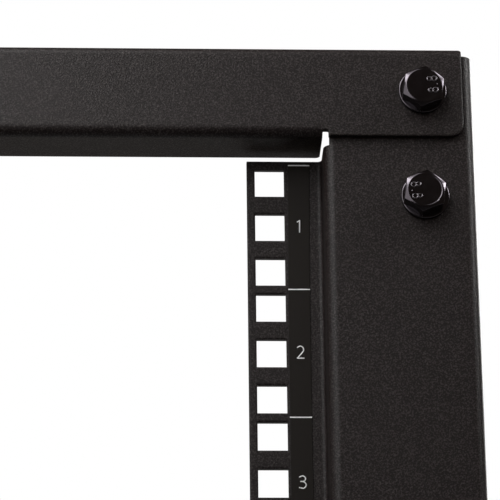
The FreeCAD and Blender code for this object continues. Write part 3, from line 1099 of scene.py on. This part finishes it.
# %% Dress the four mounting flanges
film_middle_from_holes = 9.2 * mm
film_thickness = 0.3 * mm
film_overrun = 1.0 * mm
film_edge = 0.1 * mm
film_steps = 72
digit_height = 4.2 * mm
digit_pen = 0.41 * mm
digit_shift = 0.2 * mm
digit_lift = 0.25 * mm
sway_length = 75 * mm
top_sway = {"front_left": 0.3, "front_right": 0.65, "rear_left": -0.4, "rear_right": 0.5}
stand_up = Quaternion((1, 0, 0), math.pi / 2)
half_turn = Quaternion((0, 0, 1), math.pi)
first_line = unit_height * rack_units / 2


def bare_film():
    """A thin strip in rings, from below the last line to above the first."""
    reach = first_line + film_overrun
    half = film_width / 2
    outline = [Vector(p) for p in ((-half, -film_thickness), (half, -film_thickness), (half, 0), (-half, 0))]
    heights = [reach * (2 * k / film_steps - 1) for k in range(film_steps + 1)]
    return mesh_from_rings("film", [raised(outline, z) for z in heights], False, film_edge)


def swayed_copy(mesh, sway, turn, place):
    """The mesh bent sideways near its top, then turned and put in its place."""
    copy = mesh.copy()
    for corner in copy.vertices:
        below_top = min(max((first_line - corner.co.z) / sway_length, 0.0), 1.0)
        corner.co.x += sway * (1 - below_top) ** 2
    return joined("marked_film", [(copy, turn, place)])


unit_lines = mesh_from_tree(line_tree, {
    "Lines": rack_units + 1,
    "First line": (0.0, -film_thickness, first_line),
    "Finish": white_print,
})
feet = [first_line - unit_height * (k + 0.5) - digit_height / 2 + digit_lift for k in range(rack_units)]
number_lines = stroke_mesh([(str(k + 1), Vector((digit_shift, z))) for k, z in enumerate(feet)], digit_height)
unit_numbers = mesh_from_tree(pen_tree, {
    "Pen width": digit_pen, "Relief": print_relief, "Finish": white_print,
}, number_lines)
unit_numbers = joined("numbers", [(unit_numbers, stand_up, Vector((0, -film_thickness, 0)))])
marks = {
    "film": (bare_film(), label_film),
    "lines": (unit_lines, white_print),
    "numbers": (unit_numbers, white_print),
}
for post, sway in top_sway.items():
    column = mounts[post + "_square_holes"]
    place = column + Vector((math.copysign(film_middle_from_holes, column.x), 0, 0))
    turn = unturned if column.y < 0 else half_turn
    for kind, (mesh, finish) in marks.items():
        smooth_piece(f"{post}_unit_{kind}", swayed_copy(mesh, sway * mm, turn, place), finish, None)
print("Numbered", rack_units, "units on each of", len(top_sway), "posts")

# %% [markdown]
# ## Camera
# The picture is taken from below and close to the rack's middle with a long lens, so that the top
# right corner fills it. The place and angles were found by lining up the edges of the post, the
# crossbar and the square holes with the picture.

# %% Camera
camera_place = Vector((0.18449, -1.34130, 0.17415))
camera_angles = (112.0704, 0.5914, -2.1929)
camera_lens = 228.891

camera = add_object("camera", bpy.data.cameras.new("camera"))
camera.location = camera_place
camera.rotation_euler = [math.radians(angle) for angle in camera_angles]
camera.data.lens = camera_lens
camera.data.sensor_width = 36.0
camera.data.clip_start = 0.05
camera.data.clip_end = 50.0
bpy.context.scene.camera = camera
print("Camera at", tuple(round(c, 3) for c in camera.location))

# %% [markdown]
# ## Studio light
# Black steel shows its form by what it mirrors. Soft boxes at the left and right of the corner draw
# the bright lines along the folds and the crescents on the bolts, a tall strip in front draws the
# thin arc on the lower bolt, and a high box casts the shadow under the crossbar's tab. Two more,
# behind and far to the left, light the other sides. Each is placed by its direction from the
# corner. A real soft box is brightest in the middle of its cloth, so a short tree on the lamp fades
# its light towards the rim, and the reflections on the bolts end softly. Only the panel is even.

# %% Soft boxes
corner_of_interest = Vector((0.26, -0.38, 0.58))
lamp_middle = (0.5, 0.5, 0.0)
lamp_rim = 0.5
middle_gain = 4.24


def smooth_range(tree, value, start, stop, at_start, at_stop):
    """A value that goes smoothly from one level to another between start and stop."""
    return add_node(tree, "ShaderNodeMapRange", {
        "Value": value, "From Min": start, "From Max": stop, "To Min": at_start, "To Max": at_stop,
    }, interpolation_type="SMOOTHSTEP").outputs[0]


def fade_to_rim(lamp):
    """A lamp as strong as before, but brightest in its middle."""
    lamp.use_nodes = True
    tree = lamp.node_tree
    from_middle = add_node(tree, "ShaderNodeVectorMath", {
        0: add_node(tree, "ShaderNodeNewGeometry").outputs["Parametric"], 1: lamp_middle,
    }, operation="DISTANCE").outputs["Value"]
    fade = smooth_range(tree, from_middle, 0.0, lamp_rim, middle_gain, 0.0)
    fill(tree, tree.nodes["Emission"], {"Strength": fade})


def soft_light(name, across, rise, distance, size, watts, fades=True):
    """A lamp that faces the corner, so many degrees to the right of the front and above level."""
    turn, lift = math.radians(across), math.radians(rise)
    way = Vector((math.sin(turn) * math.cos(lift), -math.cos(turn) * math.cos(lift), math.sin(lift)))
    lamp = bpy.data.lights.new(name, "AREA")
    lamp.shape = "RECTANGLE"
    lamp.size, lamp.size_y = size
    lamp.energy = watts
    if fades:
        fade_to_rim(lamp)
    holder = add_object(name, lamp)
    holder.location = corner_of_interest + way * distance
    holder.rotation_euler = (-way).to_track_quat("-Z", "Y").to_euler()


soft_light("left_panel", -41, 9, 0.55, (0.58, 0.46), 1.18, fades=False)
soft_light("left_box", -56, 50, 0.55, (0.44, 0.34), 1.2)
soft_light("middle_left_box", -30, 37, 0.6, (0.34, 0.3), 0.5)
soft_light("front_strip", -18, 22, 1.0, (0.2, 0.8), 0.62)
soft_light("high_front_box", -25, 58, 1.0, (0.8, 0.8), 1.28)
soft_light("right_box", 75, 30, 0.4, (0.15, 0.2), 0.72)
soft_light("high_right_box", 74, 54, 1.0, (0.32, 0.52), 1.5)
soft_light("rear_right_box", 150, 24, 2.2, (1.6, 1.0), 20.0)
soft_light("far_left_box", -96, 20, 2.2, (1.4, 0.8), 1.8)

# %% [markdown]
# ## World
# The world is white to the camera, so the picture has a white ground. To the rack it is a dim, warm
# room: darker in front, where the camera stands, and paler low down behind, and glossy surfaces see
# it brighter than matt ones.

# %% World
front_level = 0.033
rear_level = 0.12
rear_from, rear_full = -0.1, 0.6
rear_top = 0.5
mirror_gain = 0.9
warm_room = (1.0, 0.82, 0.68, 1.0)
white = (1.0, 1.0, 1.0, 1.0)


def white_studio():
    world = bpy.data.worlds.new("studio")
    bpy.context.scene.world = world
    world.use_nodes = True
    tree = world.node_tree
    ray = add_node(tree, "ShaderNodeLightPath").outputs
    tint = add_node(tree, "ShaderNodeMix", {
        "Factor": ray["Is Camera Ray"], "A": warm_room, "B": white,
    }, data_type="RGBA")
    toward = add_node(tree, "ShaderNodeTexCoord").outputs["Generated"]
    way = add_node(tree, "ShaderNodeSeparateXYZ", {0: toward}).outputs
    behind = smooth_range(tree, way["Y"], rear_from, rear_full, 0.0, 1.0)
    low = smooth_range(tree, way["Z"], 0.0, rear_top, rear_level - front_level, 0.0)
    level_here = maths(tree, "MULTIPLY_ADD", behind, low, front_level)
    mirrored = maths(tree, "MAXIMUM", ray["Is Glossy Ray"], ray["Is Transmission Ray"])
    room = maths(tree, "MULTIPLY", level_here, maths(tree, "MULTIPLY_ADD", mirrored, mirror_gain, 1.0))
    fill(tree, tree.nodes["Background"], {
        "Color": tint.outputs["Result"],
        "Strength": maths(tree, "MAXIMUM", room, ray["Is Camera Ray"]),
    })
    return world


print("World:", white_studio().name)

# %% [markdown]
# ## Floor
# The floor is a pale disc that keeps the rack's shadow. It glows only to the camera, which makes it
# nearly white without lighting the rack, and it fades out at its rim. In front it bounces little
# light, as over a dark cloth, so the undersides there stay dark. Its lower side is clear, so that
# the rack can be looked at from below.

# %% Floor
floor_radius = 2.4
floor_glow = 0.72
floor_seen = 0.8
dark_until, pale_from = -0.6, 0.3
dark_bounce, pale_bounce = 0.15, 0.95
fade_from, fade_to = 0.35 * floor_radius, 0.98 * floor_radius


def pale_floor():
    shape = bmesh.new()
    bmesh.ops.create_circle(shape, cap_ends=True, segments=96, radius=floor_radius)
    floor = add_object("floor", mesh_from_shape("floor", shape))
    finish, tree, shader = new_finish("floor")
    seen = add_node(tree, "ShaderNodeLightPath").outputs["Is Camera Ray"]
    place = add_node(tree, "ShaderNodeTexCoord").outputs["Object"]
    way = add_node(tree, "ShaderNodeSeparateXYZ", {0: place}).outputs
    bounce = smooth_range(tree, way["Y"], dark_until, pale_from, dark_bounce, pale_bounce)
    away = add_node(tree, "ShaderNodeVectorMath", {0: place}, operation="LENGTH").outputs["Value"]
    rim = smooth_range(tree, away, fade_from, fade_to, 1.0, 0.0)
    above = maths(tree, "SUBTRACT", 1.0, add_node(tree, "ShaderNodeNewGeometry").outputs["Backfacing"])
    fill(tree, shader, {
        "Base Color": maths(tree, "MAXIMUM", bounce, maths(tree, "MULTIPLY", seen, floor_seen)),
        "Roughness": 0.9,
        "Emission Color": white,
        "Emission Strength": maths(tree, "MULTIPLY", seen, floor_glow),
        "Alpha": maths(tree, "MULTIPLY", rim, above),
    })
    floor.data.materials.append(finish)
    return floor


print("Floor reaches", pale_floor().dimensions.x / 2, "m")

# %% [markdown]
# ## Size
# Dressing must not change the rack's size. The last lines set the view transform and write the
# model's own box.

bpy.context.scene.view_settings.view_transform = "Standard"
print("Model box", [round(c, 4) for c in cad_high - cad_low])
